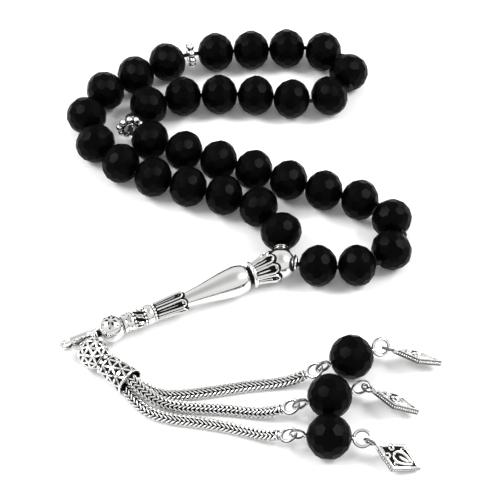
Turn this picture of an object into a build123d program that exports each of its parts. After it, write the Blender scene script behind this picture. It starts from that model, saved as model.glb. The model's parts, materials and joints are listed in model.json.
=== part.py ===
"""Misbaha: thirty-three faceted beads on a cord, closed by a metal imame with a three-chain tassel.

The set lies on a flat surface, z = 0, with +X and +Y along that surface and +Z up. Every length is
in millimetres. Points named below are laid out from the point under the imame's head, and place()
moves the whole set so that its origin is under the middle of its outline.
"""
import math
import os

from build123d import *

os.makedirs("parts", exist_ok=True)

# --- driving dimensions ---------------------------------------------------------------------------
ORIGIN_SHIFT = (11.94, -9.4)

BEAD_LENGTH = 9.36
BEAD_FACET_REACH = 5.06
BEAD_PITCH = 9.57
BEAD_BEND_ROOM = 0.021
FREE_BEND = 15.0
BEAD_BORE = 0.58
BORE_LIP = 0.25
BEADS_PER_SET = 11
CORD_RADIUS = 0.5
CORD_BEND_LENGTH = 0.55
KNOT_RADIUS = 1.25
STRING_HEIGHT = BEAD_FACET_REACH
TASSEL_BEAD_LENGTH = 10.5
TASSEL_BEAD_REACH = 5.25

MARKER_BALLS = 9
MARKER_BALL_RADIUS = 1.05
MARKER_BALL_CIRCLE = 2.7
MARKER_HUB = (1.25, 0.67)
MARKER_REACH = 1.95
MARKER_BEND_ROOM = 0.026

METAL_AXIS_HEIGHT = 4.1
IMAME_HEADING = 206.0
HEAD_RADIUS = 4.0
HEAD_WALL = 0.7
HEAD_REACH = 4.6
PORT_COLLAR = (1.3, 0.38)
STEM_RADIUS = 0.9
TAIL_BALL_AT = 45.9
TAIL_BALL_RADIUS = 3.4
TAIL_BALL_WALL = 0.7
SWIVEL_RADIUS = 0.7
SWIVEL_CLEARANCE = 0.06
TAIL_LOOP_TIP = 57.6
TAIL_LOOP_BEND = 1.5
TAIL_LOOP_STRAIGHT = 3.6
TAIL_LOOP_WIRE = 0.8

TASSEL_HEADING = -43.0
SHANK_HEADING = -20.0
SHANK_LENGTH = 6.85
EYE = (1.4, 0.45)
FILIGREE_RADIUS = 3.9
FILIGREE_WALL = 0.55
SLEEVE_START = 4.7
SLEEVE_MOUTH = 12.6
SLEEVE_RADII = (2.85, 3.7)
SLEEVE_WALL = 0.45
CORE_RADIUS = 1.0

CHAIN_RADIUS = 1.4
CHAIN_SEAT_CIRCLE = 1.7
SEAT_GAP = 0.05
LINK_WIRE = 0.4
INNER_LOOP_AT = 7.4
INNER_LOOP_RADIUS = 1.6
OUTER_LOOP_AT = 7.75
OUTER_LOOP_RADIUS = 2.0
END_RING_RADIUS = 1.85
END_RING_SPACING = 2.3
BAIL_RADIUS = 1.2
BAIL_SPACING = 1.9
LEG_END_SLOPE = 22.0
LEG_END_RUN = 3.0
CAP_RADIUS = 1.25
CAP_START = 4.5
CHAIN_END = 5.3

CHARM_LENGTH = 12.4
CHARM_WIDTH = 8.2
CHARM_THICKNESS = 1.5
CHARM_START = 1.1
CHARM_RIM = 0.8
CHARM_RECESS = 0.25

# The middle line of the beads, from the imame's head round to it again.
ROUTE = [
    (-3.6, 0.5), (6, -1), (15, -0.5), (25.1, 4.5), (24.9, 14.5), (16, 20.3), (7.5, 23.3),
    (-10, 30.5), (-28.5, 37), (-37.9, 41.8), (-43.4, 47.4), (-37.9, 53.4), (-28, 55.8),
    (-8.1, 56.5), (11.1, 57), (16.1, 65), (8.9, 72), (-1.6, 73.3), (-21.5, 72), (-28.3, 70.9),
    (-43.2, 62), (-51.2, 56.5), (-54.6, 48.5), (-50.9, 39.7), (-43.7, 32), (-34.5, 27.5),
    (-16.3, 21.2), (-7.2, 17), (-2.8, 9.9), (-3.6, 0.5),
]

# Each chain's route along the surface, between its seat in the sleeve and its rise to the end cap.
CHAIN_ROUTES = {
    1: [(-35.5, -36.5, 2.1), (-31.3, -37.5, 1.4), (-25.8, -37.2, 1.4),
        (-18.0, -35.9, 1.4), (-10.4, -34.5, 1.4), (-5.2, -34.0, 1.4)],
    2: [(-36.9, -38.4, 4.8), (-33.4, -40.1, 3.1), (-29.5, -40.9, 1.9),
        (-24.0, -41.2, 1.4), (-17.0, -41.5, 1.4), (-11.7, -42.3, 1.4)],
    3: [(-38.6, -39.8, 2.3), (-35.7, -42.3, 1.5), (-30.8, -44.1, 1.4),
        (-24.5, -45.0, 1.4), (-17.5, -46.3, 1.4), (-12.0, -47.9, 1.4)],
}
CHAIN_SEAT_ANGLES = {1: -30.0, 2: 90.0, 3: 210.0}
TASSEL_BEADS = {1: (13.1, -29.0), 2: (7.65, -40.4), 3: (7.25, -51.9)}
LEG_END_HEADINGS = {1: 13.0, 2: 2.0, 3: -14.0}
PIN_HEADINGS = {1: 22.5, 2: 18.5, 3: -4.0}
CHARM_HEADINGS = {1: -11.0, 2: -24.0, 3: -23.0}
CHARM_SLOPES = {1: 11.0, 2: 11.4, 3: 17.8}
CHARM_ROLLS = {1: 39.5, 2: 37.5, 3: 0.0}
PIN_LOOP_ROLLS = {1: 45.0, 2: 10.0, 3: 72.0}


# --- helpers --------------------------------------------------------------------------------------
def heading(degrees, slope=0.0):
    """The unit vector at that compass angle in the XY plane, raised by that slope."""
    turn = math.radians(degrees)
    rise = math.radians(slope)
    return Vector(math.cos(turn) * math.cos(rise), math.sin(turn) * math.cos(rise), math.sin(rise))


def frame_at(origin, axis, up=Vector(0, 0, 1)):
    """A plane at origin with its local Z along axis and its local X as near to up as it can be."""
    across = (up - axis * up.dot(axis)).normalized()
    return Plane(origin=origin, x_dir=across, z_dir=axis)


def rod(start, end, radius):
    """A round rod between two points."""
    along = end - start
    side = Vector(0, 0, 1) if abs(along.normalized().Z) < 0.9 else Vector(1, 0, 0)
    place_on = frame_at(start, along.normalized(), side)
    return place_on * Pos(0, 0, along.length / 2) * Cylinder(radius, along.length)


def tube_along(points, radii, radius):
    """A round tube along straight runs joined by tangent arcs."""
    path = FilletPolyline(*points, radius=radii)
    section = Plane(origin=path @ 0, z_dir=path % 0) * Circle(radius)
    return sweep(section, path=path)


def turned(points):
    """A solid of revolution about Z from (radius, height) corners."""
    outline = Polyline(*[(r, 0, z) for r, z in points], close=True)
    return revolve(make_face(outline), Axis.Z)


def around(count, shape, start=0.0):
    """Copies of a shape evenly spaced about Z."""
    return [Rot(0, 0, start + 360.0 * i / count) * shape for i in range(count)]


# --- beads and their cord -------------------------------------------------------------------------
def make_bead(reach_across, length):
    """An onyx bead, bored along Z: flat facets that touch an ellipsoid, in staggered rows."""
    half = length / 2
    bead = Cylinder(reach_across + 1, length)
    rows = [(90, 12, 0.0), (65, 12, 15.0), (41, 12, 0.0), (20, 6, 15.0)]
    for polar, count, start in rows:
        for side in (1, -1) if polar < 90 else (1,):
            for i in range(count):
                turn = math.radians(start + 360.0 * i / count)
                tilt = math.radians(polar)
                normal = Vector(math.sin(tilt) * math.cos(turn), math.sin(tilt) * math.sin(turn),
                                side * math.cos(tilt))
                reach = math.hypot(reach_across * math.sin(tilt), half * math.cos(tilt))
                cut = Plane(origin=normal * reach, z_dir=normal)
                bead = split(bead, bisect_by=cut, keep=Keep.BOTTOM)
    bead = bead - Cylinder(BEAD_BORE, length + 2)
    lip = Cone(BEAD_BORE + BORE_LIP, BEAD_BORE, BORE_LIP)
    for flip in (0, 180):
        bead = bead - Rot(flip, 0, 0) * Pos(0, 0, -half + BORE_LIP / 2) * lip
    return bead


def make_marker():
    """A daisy spacer, bored along Z: a ring of balls round a hub."""
    marker = Torus(*MARKER_HUB)
    ball = Pos(MARKER_BALL_CIRCLE, 0, 0) * Sphere(MARKER_BALL_RADIUS)
    for copy in around(MARKER_BALLS, ball):
        marker = marker + copy
    return marker


def walk_route():
    """Centres and directions of all that is threaded on the cord, a set of beads between markers."""
    route = Spline(*ROUTE)
    steps = 6000
    places = [route @ (i / steps) for i in range(steps + 1)]
    kinds = []
    for group in range(3):
        kinds += ["bead"] * BEADS_PER_SET
        kinds += ["marker"] if group < 2 else []
    reach = {"head": HEAD_REACH, "bead": BEAD_PITCH / 2, "marker": MARKER_REACH}
    room = {"head": 0.0, "bead": BEAD_BEND_ROOM, "marker": MARKER_BEND_ROOM}
    centres = [places[0]]
    here = 0
    last = "head"
    for kind in kinds:
        chord = reach[last] + reach[kind]
        give = max(room[last], room[kind]) if "head" not in (last, kind) else 0.0
        index = here + 1
        while index < steps:
            index += 1
            span = places[index] - places[here]
            turn = (places[here + 1] - places[here]).get_angle(places[index] - places[index - 1])
            if span.length >= chord + give * max(turn - FREE_BEND, 0.0):
                break
        centres.append(places[index])
        here = index
        last = kind
    return kinds, centres


def lay_cord():
    """The cord's corners between the threaded pieces, and where each piece then sits on it."""
    kinds, centres = walk_route()
    ring = [centres[-1]] + centres + [centres[0], centres[1]]
    tangents = [(ring[i + 2] - ring[i]).normalized() for i in range(len(ring) - 2)]
    tangents = tangents[:len(centres)] + [tangents[0]]
    stops = centres + [centres[0]]
    corners = []
    for i in range(len(stops) - 1):
        chord = stops[i + 1] - stops[i]
        along = chord.normalized()
        outward = Vector(along.Y, -along.X, 0)
        before = 0.0
        after = 0.0
        if i > 0:
            before = math.atan2(along.cross(tangents[i]).Z, along.dot(tangents[i]))
        if i < len(stops) - 2:
            after = math.atan2(along.cross(tangents[i + 1]).Z, along.dot(tangents[i + 1]))
        bow = chord.length / 2 * math.tan((after - before) / 2)
        if i > 0 and i < len(kinds) and "marker" in (kinds[i - 1], kinds[i]):
            near = BEAD_PITCH / 2 if kinds[i - 1] == "bead" else MARKER_REACH
            share = near / (BEAD_PITCH / 2 + MARKER_REACH)
        else:
            share = 0.5
        corners.append(stops[i] + chord * share + outward * bow)
    seats = []
    for i in range(len(kinds)):
        run = (corners[i + 1] - corners[i]).normalized()
        foot = corners[i] + run * (stops[i + 1] - corners[i]).dot(run)
        seats.append((kinds[i], foot, run))
    lift = Vector(0, 0, STRING_HEIGHT)
    corners = [centres[0] + lift] + [c + lift for c in corners] + [centres[0] + lift]
    seats = [(kind, foot + lift, run) for kind, foot, run in seats]
    return corners, seats


def make_string(corners):
    """The cord, knotted inside the imame's head, with a small bend at each gap between beads."""
    knot = corners[0]
    first = knot + (corners[1] - knot).normalized() * KNOT_RADIUS / 2
    last = knot + (corners[-2] - knot).normalized() * KNOT_RADIUS / 2
    corners = [first] + corners[1:-1] + [last]
    radii = []
    for before, here, after in zip(corners, corners[1:], corners[2:]):
        turn = (here - before).get_angle(after - here)
        radii.append(CORD_BEND_LENGTH / math.tan(math.radians(max(turn, 0.6)) / 2))
    cord = tube_along(corners, radii, CORD_RADIUS)
    return cord + Pos(*knot) * Rot(90, 0, 0) * Sphere(KNOT_RADIUS)


# --- imame, turned about its own axis, which local Z follows from the head to the tail -------------
HEAD_CENTRE = Vector(ROUTE[0][0], ROUTE[0][1], METAL_AXIS_HEIGHT)
IMAME_AXIS = heading(IMAME_HEADING)
IMAME = frame_at(HEAD_CENTRE, IMAME_AXIS)


def make_imame_head(corners):
    """The hollow ball where both ends of the cord enter, each through a collared port."""
    head = IMAME * Sphere(HEAD_RADIUS)
    knot_at = corners[0]
    for leaves in (corners[1], corners[-2]):
        out = (leaves - knot_at).normalized()
        depth = math.sqrt(HEAD_RADIUS ** 2 - (STRING_HEIGHT - METAL_AXIS_HEIGHT) ** 2)
        collar_at = knot_at + out * (depth - 0.08)
        head = head + frame_at(collar_at, out) * Torus(*PORT_COLLAR)
        head = head - rod(knot_at, knot_at + out * (HEAD_RADIUS + 2), CORD_RADIUS + 0.1)
    head = head - IMAME * Sphere(HEAD_RADIUS - HEAD_WALL)
    return head - IMAME * Pos(0, 0, HEAD_RADIUS) * Cylinder(STEM_RADIUS, 3)


def petal_windows(count, width, start, end, radius):
    """Round-ended slots through a petal cup, one for each petal."""
    slot = extrude(SlotOverall(end - start, width), 2 * radius)
    upright = Pos(0, 0, (start + end) / 2) * Rot(0, 90, 0) * slot
    return around(count, upright)


def petal_gaps(count, width, rim, depth, radius):
    """Pointed gaps between petals, cut down from the rim."""
    outline = Polyline((-width / 2, -0.5), (width / 2, -0.5), (0, depth), close=True)
    wedge = extrude(make_face(outline), 2 * radius)
    upright = Pos(0, 0, rim) * Rot(0, 90, 0) * Rot(0, 0, -90) * wedge
    return around(count, upright, 180.0 / count)


def make_imame_lotus():
    """The petal cup that holds the head, with its round collar."""
    cup = turned([(STEM_RADIUS, 6.4), (2.3, 6.4), (3.65, 2.0), (4.05, 2.0), (2.85, 7.4),
                  (2.85, 8.5), (STEM_RADIUS, 8.5)])
    cup = cup + Pos(0, 0, 7.95) * Torus(2.85, 0.6)
    for slot in petal_windows(8, 0.75, 2.9, 6.2, 5):
        cup = cup - slot
    for gap in petal_gaps(8, 1.5, 2.0, 2.4, 5):
        cup = cup - gap
    return IMAME * cup


def make_imame_baluster():
    """The polished tapering body, with a stem up into the head and a peg down into the calyx."""
    side = Spline((3.0, 0, 9.4), (3.85, 0, 12.0), (2.95, 0, 17), (2.15, 0, 22), (1.7, 0, 27.6))
    bottom = Polyline((1.7, 0, 27.6), (1.2, 0, 27.6), (1.2, 0, 32), (0, 0, 32), (0, 0, 2.3),
                      (STEM_RADIUS, 0, 2.3), (STEM_RADIUS, 0, 8.5), (2.3, 0, 8.5), (2.3, 0, 9.4),
                      (3.0, 0, 9.4))
    return IMAME * revolve(make_face([side, bottom]), Axis.Z)


def make_imame_calyx():
    """The lower petal cup with its bands and cuff, and a peg into the tail ball."""
    calyx = turned([(0, 32), (1.2, 32), (1.2, 27.7), (2.1, 27.7), (2.1, 26.8), (2.65, 26.8),
                    (2.0, 33.6), (2.0, 34.2), (2.2, 34.6), (2.0, 35.0), (2.0, 35.4), (2.55, 35.4),
                    (2.55, 36.8), (2.1, 36.8), (2.1, 37.1), (2.35, 37.4), (2.1, 37.7), (2.1, 39.6),
                    (2.35, 39.9), (2.1, 40.2), (2.1, 40.5), (2.4, 40.5), (2.3, 41.6), (2.5, 43.0),
                    (STEM_RADIUS, 43.0), (STEM_RADIUS, 43.9), (0, 43.9)])
    for slot in petal_windows(6, 0.6, 28.0, 33.2, 5):
        calyx = calyx - (slot - Cylinder(1.6, 100))
    for gap in petal_gaps(6, 1.2, 26.8, 1.0, 5):
        calyx = calyx - gap
    return IMAME * calyx


def make_imame_tail_ball():
    """The hollow ball at the tail, in which the loop's stem swivels."""
    ball = Sphere(TAIL_BALL_RADIUS) - Sphere(TAIL_BALL_RADIUS - TAIL_BALL_WALL)
    ball = ball - Pos(0, 0, -TAIL_BALL_RADIUS) * Cylinder(STEM_RADIUS, 3)
    ball = ball - Pos(0, 0, TAIL_BALL_RADIUS) * Cylinder(SWIVEL_RADIUS + SWIVEL_CLEARANCE, 3)
    neck = TAIL_BALL_AT - 43.0
    ball = split(ball, bisect_by=Plane(origin=(0, 0, -neck), z_dir=(0, 0, 1)), keep=Keep.TOP)
    return IMAME * Pos(0, 0, TAIL_BALL_AT) * ball


def make_tail_loop():
    """The oblong loop on its swivel stem, whose head is caught inside the tail ball."""
    near = TAIL_LOOP_TIP - 2 * TAIL_LOOP_BEND - TAIL_LOOP_STRAIGHT
    first = near + TAIL_LOOP_BEND
    last = TAIL_LOOP_TIP - TAIL_LOOP_BEND
    arms = []
    for side in (1, -1):
        arms.append(rod(Vector(side * TAIL_LOOP_BEND, 0, first),
                        Vector(side * TAIL_LOOP_BEND, 0, last), TAIL_LOOP_WIRE))
    bends = []
    for height, keep in ((first, Keep.BOTTOM), (last, Keep.TOP)):
        bend = Pos(0, 0, height) * Rot(90, 0, 0) * Torus(TAIL_LOOP_BEND, TAIL_LOOP_WIRE)
        bends.append(split(bend, bisect_by=Plane(origin=(0, 0, height), z_dir=(0, 0, 1)), keep=keep))
    loop = arms[0] + arms[1] + bends[0] + bends[1]
    start = TAIL_BALL_AT + TAIL_BALL_RADIUS + 0.15
    loop = loop + Pos(0, 0, (start + near) / 2) * Cylinder(1.45, near - start + 0.2)
    for coil in (0.35, 0.95):
        loop = loop + Pos(0, 0, start + coil) * Torus(1.45, 0.28)
    head_at = TAIL_BALL_AT + 1.3
    stem = Pos(0, 0, (head_at + near) / 2) * Cylinder(SWIVEL_RADIUS, near - head_at)
    return IMAME * (loop + stem + Pos(0, 0, head_at) * Cylinder(1.3, 0.7))


# --- tassel head ----------------------------------------------------------------------------------
LOOP_TIP = HEAD_CENTRE + IMAME_AXIS * TAIL_LOOP_TIP
FILIGREE_CENTRE = LOOP_TIP + heading(SHANK_HEADING) * SHANK_LENGTH
TASSEL_AXIS = heading(TASSEL_HEADING)
TASSEL = frame_at(FILIGREE_CENTRE, TASSEL_AXIS)
PLUG_FACE = SLEEVE_MOUTH - CHAIN_RADIUS - SEAT_GAP


def make_tassel_core():
    """The eye round the imame's loop, its shank and the rod that carries the ball and sleeve."""
    core = Pos(*LOOP_TIP) * Torus(*EYE)
    shank_start = LOOP_TIP + heading(SHANK_HEADING) * EYE[0]
    core = core + rod(shank_start, FILIGREE_CENTRE, CORE_RADIUS - 0.2)
    core = core + Pos(*FILIGREE_CENTRE) * Sphere(CORE_RADIUS)
    core = core + rod(FILIGREE_CENTRE, FILIGREE_CENTRE + TASSEL_AXIS * (PLUG_FACE - 0.5), CORE_RADIUS)
    return core + TASSEL * Pos(0, 0, PLUG_FACE - 0.4) * Cylinder(3.0, 0.8)


def pierce(reach):
    """The cutter for one three-cornered window, pointing along local X."""
    return Rot(0, 90, 0) * Pos(0, 0, reach) * extrude(RegularPolygon(0.85, 3), 2.4, both=True)


def make_filigree_ball():
    """The pierced hollow ball on the core."""
    ball = TASSEL * (Sphere(FILIGREE_RADIUS) - Sphere(FILIGREE_RADIUS - FILIGREE_WALL))
    for tilt, count in ((38, 7), (0, 10), (-38, 7)):
        window = Rot(0, tilt, 0) * pierce(FILIGREE_RADIUS)
        for cutter in around(count, window, tilt):
            ball = ball - TASSEL * cutter
    shank_end = FILIGREE_CENTRE - heading(SHANK_HEADING) * SHANK_LENGTH
    ball = ball - rod(FILIGREE_CENTRE, shank_end, CORE_RADIUS - 0.2)
    return ball - rod(FILIGREE_CENTRE, FILIGREE_CENTRE + TASSEL_AXIS * 6, CORE_RADIUS)


def make_filigree_sleeve():
    """The pierced flaring sleeve over the chains' seats, with a beaded ring at its top."""
    top, mouth = SLEEVE_RADII
    sleeve = turned([(CORE_RADIUS, SLEEVE_START), (top, SLEEVE_START), (mouth, SLEEVE_MOUTH),
                     (mouth - SLEEVE_WALL, SLEEVE_MOUTH),
                     (top - SLEEVE_WALL, SLEEVE_START + 0.5), (CORE_RADIUS, SLEEVE_START + 0.5)])
    for height, start in ((6.3, 0.0), (8.3, 22.5), (10.3, 0.0)):
        radius = top + (mouth - top) * (height - SLEEVE_START) / (SLEEVE_MOUTH - SLEEVE_START)
        flip = 60 if start else 0
        window = Pos(0, 0, height) * Rot(flip, 0, 0) * pierce(radius)
        for cutter in around(8, window, start):
            sleeve = sleeve - (cutter - Cylinder(1.6, 60))
    collar = Pos(0, 0, SLEEVE_START - 0.35) * Torus(2.0, 0.5)
    return TASSEL * (sleeve + collar)


# --- tassel legs ----------------------------------------------------------------------------------
def chain_seat(leg):
    """Where a chain turns in the sleeve's mouth."""
    side = Vector(-TASSEL_AXIS.Y, TASSEL_AXIS.X, 0)
    turn = math.radians(CHAIN_SEAT_ANGLES[leg])
    lean = side * (CHAIN_SEAT_CIRCLE * math.cos(turn)) + Vector(0, 0, CHAIN_SEAT_CIRCLE * math.sin(turn))
    return FILIGREE_CENTRE + TASSEL_AXIS * SLEEVE_MOUTH + lean


def bead_centre(leg):
    x, y = TASSEL_BEADS[leg]
    return Vector(x, y, TASSEL_BEAD_REACH)


def inner_loop(leg):
    return bead_centre(leg) - heading(PIN_HEADINGS[leg]) * INNER_LOOP_AT


def outer_loop(leg):
    return bead_centre(leg) + heading(PIN_HEADINGS[leg]) * OUTER_LOOP_AT


def leg_end_axis(leg):
    return heading(LEG_END_HEADINGS[leg], LEG_END_SLOPE)


def chain_points(leg):
    """The chain's corners from its seat to its cap."""
    end = inner_loop(leg) - leg_end_axis(leg) * CHAIN_END
    rise = end - leg_end_axis(leg) * LEG_END_RUN
    middle = [Vector(*p) for p in CHAIN_ROUTES[leg]]
    return [chain_seat(leg)] + middle + [rise, end]


def make_chain(leg):
    """A square-link chain as a plain round tube, with a round seat at its start."""
    points = chain_points(leg)
    radii = []
    for before, here, after in zip(points, points[1:], points[2:]):
        turn = (here - before).get_angle(after - here)
        run = min((here - before).length, (after - here).length)
        radii.append(0.45 * run / math.tan(math.radians(turn) / 2))
    print(f"chain_{leg} radii", [round(r, 1) for r in radii])
    return tube_along(points, radii, CHAIN_RADIUS) + Pos(*points[0]) * Sphere(CHAIN_RADIUS)


def make_end_ring(leg):
    """The cap on a chain's end with the ring that hooks into the bead's pin."""
    axis = leg_end_axis(leg)
    hook = inner_loop(leg)
    across = Vector(axis.Y, -axis.X, 0).normalized()
    ring_plane = Plane(origin=hook - axis * END_RING_SPACING, x_dir=axis, z_dir=axis.cross(across))
    ring = ring_plane * Torus(END_RING_RADIUS, LINK_WIRE)
    cap = rod(hook - axis * CHAIN_END, hook - axis * CAP_START, CAP_RADIUS)
    neck = rod(hook - axis * (CAP_START + 0.1), hook - axis * (CAP_START - 0.4), 0.6)
    return ring + cap + neck


def outer_normal(leg):
    """The normal of the pin's outer loop, rolled up about the pin from level."""
    along = heading(PIN_HEADINGS[leg])
    side = Vector(along.Y, -along.X, 0)
    tilt = math.radians(PIN_LOOP_ROLLS[leg])
    return side * math.cos(tilt) + Vector(0, 0, 1) * math.sin(tilt)


def make_eye_pin(leg):
    """The wire through a tassel bead, with a round loop at each end."""
    along = heading(PIN_HEADINGS[leg])
    side = Vector(along.Y, -along.X, 0)
    start = bead_centre(leg) - along * (INNER_LOOP_AT - INNER_LOOP_RADIUS)
    end = bead_centre(leg) + along * (OUTER_LOOP_AT - OUTER_LOOP_RADIUS)
    inner = Plane(origin=inner_loop(leg), x_dir=along, z_dir=side) * Torus(INNER_LOOP_RADIUS, LINK_WIRE)
    outer_plane = Plane(origin=outer_loop(leg), x_dir=along, z_dir=outer_normal(leg))
    return rod(start, end, LINK_WIRE) + inner + outer_plane * Torus(OUTER_LOOP_RADIUS, LINK_WIRE)


def charm_frames(leg):
    """Two planes from the bail's centre: the bail's, and the plate's with local X to its tip."""
    along = heading(CHARM_HEADINGS[leg], -CHARM_SLOPES[leg])
    level = Vector(-along.Y, along.X, 0).normalized()
    tilt = math.radians(CHARM_ROLLS[leg])
    normal = along.cross(level) * math.cos(tilt) + level * math.sin(tilt)
    across = outer_normal(leg)
    hang = (along - across * along.dot(across)).normalized()
    centre = outer_loop(leg) + hang * BAIL_SPACING
    bail = Plane(origin=centre, x_dir=hang, z_dir=hang.cross(across))
    plate = Plane(origin=centre, x_dir=along, z_dir=normal)
    return bail, plate


def make_charm(leg):
    """A kite-shaped charm with a raised rim on both faces, hung by a round bail."""
    middle = CHARM_START + CHARM_LENGTH / 2
    half_length = CHARM_LENGTH / 2
    half_width = CHARM_WIDTH / 2
    kite = make_face(Polyline((-half_length, 0), (0, half_width), (half_length, 0), (0, -half_width),
                              close=True))
    plate = extrude(kite, CHARM_THICKNESS / 2, both=True)
    window = offset(kite, -CHARM_RIM)
    for side in (1, -1):
        face = Pos(0, 0, side * CHARM_THICKNESS / 2) * extrude(window, CHARM_RECESS, both=True)
        plate = plate - face
    boss = Cylinder(1.2, CHARM_THICKNESS)
    bail_plane, plate_plane = charm_frames(leg)
    bail = bail_plane * Torus(BAIL_RADIUS, LINK_WIRE)
    return bail + plate_plane * Pos(middle, 0, 0) * (plate + boss)


# --- assembly -------------------------------------------------------------------------------------
CORNERS, SEATS = lay_cord()


def place(shape):
    """Moves a piece so that the origin is under the middle of the whole set."""
    return Pos(ORIGIN_SHIFT[0], ORIGIN_SHIFT[1], 0) * shape


def build_all():
    pieces = {}
    bead = make_bead(BEAD_FACET_REACH, BEAD_LENGTH)
    tassel_bead = make_bead(TASSEL_BEAD_REACH, TASSEL_BEAD_LENGTH)
    marker = make_marker()
    bead_number = 0
    marker_number = 0
    for kind, centre, run in SEATS:
        if kind == "bead":
            bead_number += 1
            pieces[f"bead_{bead_number:02d}"] = frame_at(centre, run) * bead
        else:
            marker_number += 1
            pieces[f"marker_{marker_number}"] = frame_at(centre, run) * marker
    pieces["string"] = make_string(CORNERS)
    pieces["imame_head"] = make_imame_head(CORNERS)
    pieces["imame_lotus"] = make_imame_lotus()
    pieces["imame_baluster"] = make_imame_baluster()
    pieces["imame_calyx"] = make_imame_calyx()
    pieces["imame_tail_ball"] = make_imame_tail_ball()
    pieces["tail_loop"] = make_tail_loop()
    pieces["tassel_core"] = make_tassel_core()
    pieces["filigree_ball"] = make_filigree_ball()
    pieces["filigree_sleeve"] = make_filigree_sleeve()
    for leg in (1, 2, 3):
        pieces[f"chain_{leg}"] = make_chain(leg)
        pieces[f"end_ring_{leg}"] = make_end_ring(leg)
        pieces[f"eye_pin_{leg}"] = make_eye_pin(leg)
        along = heading(PIN_HEADINGS[leg])
        pieces[f"tassel_bead_{leg}"] = frame_at(bead_centre(leg), along) * tassel_bead
        pieces[f"charm_{leg}"] = make_charm(leg)
    return {name: place(shape) for name, shape in pieces.items()}


PIECES = build_all()
for piece_name, piece in PIECES.items():
    export_step(piece, f"parts/{piece_name}.step")
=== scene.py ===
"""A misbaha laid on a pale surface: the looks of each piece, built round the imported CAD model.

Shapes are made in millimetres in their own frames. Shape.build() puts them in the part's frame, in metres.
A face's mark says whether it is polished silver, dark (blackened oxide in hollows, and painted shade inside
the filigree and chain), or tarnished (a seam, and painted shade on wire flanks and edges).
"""

import json
import math

import bmesh
import bpy
import numpy as np
from mathutils import Matrix, Vector


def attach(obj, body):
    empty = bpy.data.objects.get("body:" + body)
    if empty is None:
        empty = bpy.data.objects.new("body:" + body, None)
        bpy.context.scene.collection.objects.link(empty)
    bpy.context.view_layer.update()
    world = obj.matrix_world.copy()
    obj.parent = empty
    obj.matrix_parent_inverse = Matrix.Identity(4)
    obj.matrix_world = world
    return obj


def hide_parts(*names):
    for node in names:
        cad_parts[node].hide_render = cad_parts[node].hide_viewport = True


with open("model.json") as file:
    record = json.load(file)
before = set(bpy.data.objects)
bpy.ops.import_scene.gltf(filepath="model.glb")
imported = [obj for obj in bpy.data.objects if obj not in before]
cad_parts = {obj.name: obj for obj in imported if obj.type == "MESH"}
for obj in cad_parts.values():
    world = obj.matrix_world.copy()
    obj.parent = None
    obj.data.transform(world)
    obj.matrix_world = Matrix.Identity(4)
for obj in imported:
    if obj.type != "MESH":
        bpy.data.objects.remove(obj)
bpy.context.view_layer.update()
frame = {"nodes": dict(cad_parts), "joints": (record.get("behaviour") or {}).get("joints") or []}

MM = 0.001
LEGS = (1, 2, 3)
LEG_JOINTS = {1: "leg_1_swing", 2: "leg_2_lift", 3: "leg_3_swing"}
UP = np.array([0.0, 0.0, 1.0])
LOCAL_X = np.array([1.0, 0.0, 0.0])
LOCAL_Y = np.array([0.0, 1.0, 0.0])
POLISHED, DARK, TARNISH_AND_SHADE_MARK = 0, 1, 2
joints = {joint["name"]: joint for joint in frame["joints"]}


# --- camera ---------------------------------------------------------------------------------------
VIEW_ELEVATION = math.radians(51.2)
VIEW_DISTANCE = 0.561
VIEW_TARGET = Vector((0.00074, -0.00126, 0.0))
VIEW_LENS = 160.3
VIEW_SENSOR = 36.0


def make_camera():
    """The camera in front of the set, looking down on it."""
    data = bpy.data.cameras.new("camera")
    data.sensor_width = VIEW_SENSOR
    data.lens = VIEW_LENS
    data.clip_start = 0.01
    data.clip_end = 20.0
    camera = bpy.data.objects.new("camera", data)
    back = Vector((0, -math.cos(VIEW_ELEVATION), math.sin(VIEW_ELEVATION)))
    camera.location = VIEW_TARGET + back * VIEW_DISTANCE
    camera.rotation_mode = "QUATERNION"
    camera.rotation_quaternion = (-back).to_track_quat("-Z", "Y")
    bpy.context.scene.collection.objects.link(camera)
    bpy.context.scene.camera = camera


make_camera()


# --- materials ------------------------------------------------------------------------------------
def principled(name, colour, metallic, roughness, specular=0.5):
    """A material and its principled shader."""
    material = bpy.data.materials.new(name)
    material.use_nodes = True
    shader = material.node_tree.nodes["Principled BSDF"]
    shader.inputs["Base Color"].default_value = (*colour, 1)
    shader.inputs["Metallic"].default_value = metallic
    shader.inputs["Roughness"].default_value = roughness
    shader.inputs["Specular IOR Level"].default_value = specular
    return material, shader


def add_noise(material, shader, scale, detail, low, high, bump):
    """Varies the roughness between two values, and the surface by a small height in metres."""
    nodes = material.node_tree.nodes
    links = material.node_tree.links
    place = nodes.new("ShaderNodeTexCoord")
    noise = nodes.new("ShaderNodeTexNoise")
    noise.inputs["Scale"].default_value = scale
    noise.inputs["Detail"].default_value = detail
    spread = nodes.new("ShaderNodeMapRange")
    spread.inputs["From Min"].default_value = 0.3
    spread.inputs["From Max"].default_value = 0.7
    spread.inputs["To Min"].default_value = low
    spread.inputs["To Max"].default_value = high
    rise = nodes.new("ShaderNodeBump")
    rise.inputs["Strength"].default_value = 1.0
    rise.inputs["Distance"].default_value = bump
    links.new(place.outputs["Object"], noise.inputs["Vector"])
    links.new(noise.outputs["Fac"], spread.inputs["Value"])
    links.new(spread.outputs["Result"], shader.inputs["Roughness"])
    links.new(noise.outputs["Fac"], rise.inputs["Height"])
    links.new(rise.outputs["Normal"], shader.inputs["Normal"])


def grained(name, colour, metallic, roughness, specular=0.5, **grain):
    """A material with a fine grain in its roughness and its surface."""
    material, shader = principled(name, colour, metallic, roughness, specular)
    add_noise(material, shader, **grain)
    return material


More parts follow.
